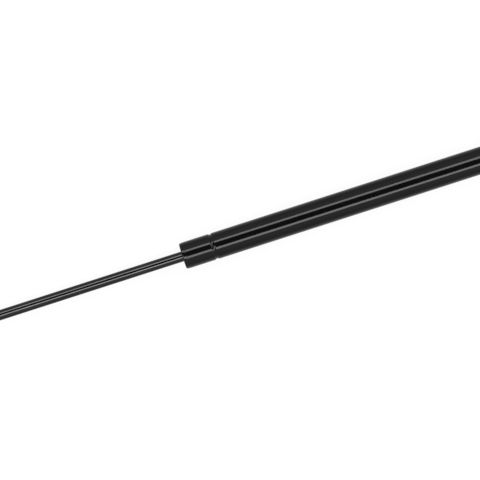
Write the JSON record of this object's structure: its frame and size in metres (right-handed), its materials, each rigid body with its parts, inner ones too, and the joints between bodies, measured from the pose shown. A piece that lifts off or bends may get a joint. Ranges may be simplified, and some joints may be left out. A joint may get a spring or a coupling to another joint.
{
  "type": "hood gas strut",
  "caption": "Gas spring with a black tube, a dark polished rod and ball sockets with studs at both ends, for holding up a hood.",
  "frame": {"origin": "centre of the tube-end stud's flange face, where its bolt starts", "axes": "+X along the strut from the tube-end stud to the rod-end stud, +Z the way both bolts point, +Y completes the frame"},
  "size_m": [0.5178, 0.017, 0.0327],
  "materials": {
    "black_paint": "smooth gloss black paint",
    "nitrided_steel": "polished black nitrided steel",
    "plain_steel": "turned steel",
    "zinc_plated_steel": "bright zinc plating",
    "spring_steel": "drawn spring wire",
    "brass": "turned brass",
    "bearing_bronze": "sintered bronze",
    "guide_aluminium": "turned aluminium",
    "black_rubber": "matt black nitrile rubber",
    "black_plastic": "black glass-filled nylon",
    "white_plastic": "off-white low-friction plastic"
  },
  "bodies": {
    "tube": {"pressure_tube": "black_paint", "end_plug": "plain_steel", "plug_o_ring": "black_rubber", "rod_wiper": "black_rubber", "rod_guide": "guide_aluminium", "guide_bushing": "bearing_bronze", "guide_o_ring": "black_rubber", "seal_washer": "plain_steel", "rod_seal": "black_rubber", "seal_spacer": "white_plastic", "tube_socket": "black_plastic", "tube_socket_insert": "brass"},
    "ring": {"piston_ring": "white_plastic"},
    "rod": {"piston_rod": "nitrided_steel", "stop_washer": "plain_steel", "piston": "guide_aluminium", "orifice_disc": "plain_steel", "rivet_washer": "plain_steel", "rod_socket": "black_plastic", "rod_socket_insert": "brass"},
    "tube_clip": {"tube_clip": "spring_steel"},
    "rod_clip": {"rod_clip": "spring_steel"},
    "tube_stud": {"tube_ball_stud": "zinc_plated_steel"},
    "rod_stud": {"rod_ball_stud": "zinc_plated_steel"}
  },
  "joints": [
    {"name": "rod_slide", "type": "slide", "parent": "tube", "child": "ring", "axis": [-1, 0, 0], "range_m": [0, 0.19], "stiffness_N_per_m": 630, "springref_m": -0.555},
    {"name": "rod_spin", "type": "hinge", "parent": "ring", "child": "rod", "pos_m": [0.4, 0, -0.0125], "axis": [1, 0, 0], "continuous": true},
    {"name": "tube_stud_swivel", "type": "hinge", "parent": "tube", "child": "tube_stud", "pos_m": [0, 0, -0.0125], "axis": [0, 0, 1], "continuous": true},
    {"name": "rod_stud_swivel", "type": "hinge", "parent": "rod", "child": "rod_stud", "pos_m": [0.5, 0, -0.0125], "axis": [0, 0, 1], "continuous": true},
    {"name": "tube_clip_pull", "type": "slide", "parent": "tube", "child": "tube_clip", "axis": [-1, 0, 0], "range_m": [0, 0.004], "stiffness_N_per_m": 300},
    {"name": "rod_clip_pull", "type": "slide", "parent": "rod", "child": "rod_clip", "axis": [1, 0, 0], "range_m": [0, 0.004], "stiffness_N_per_m": 300}
  ]
}
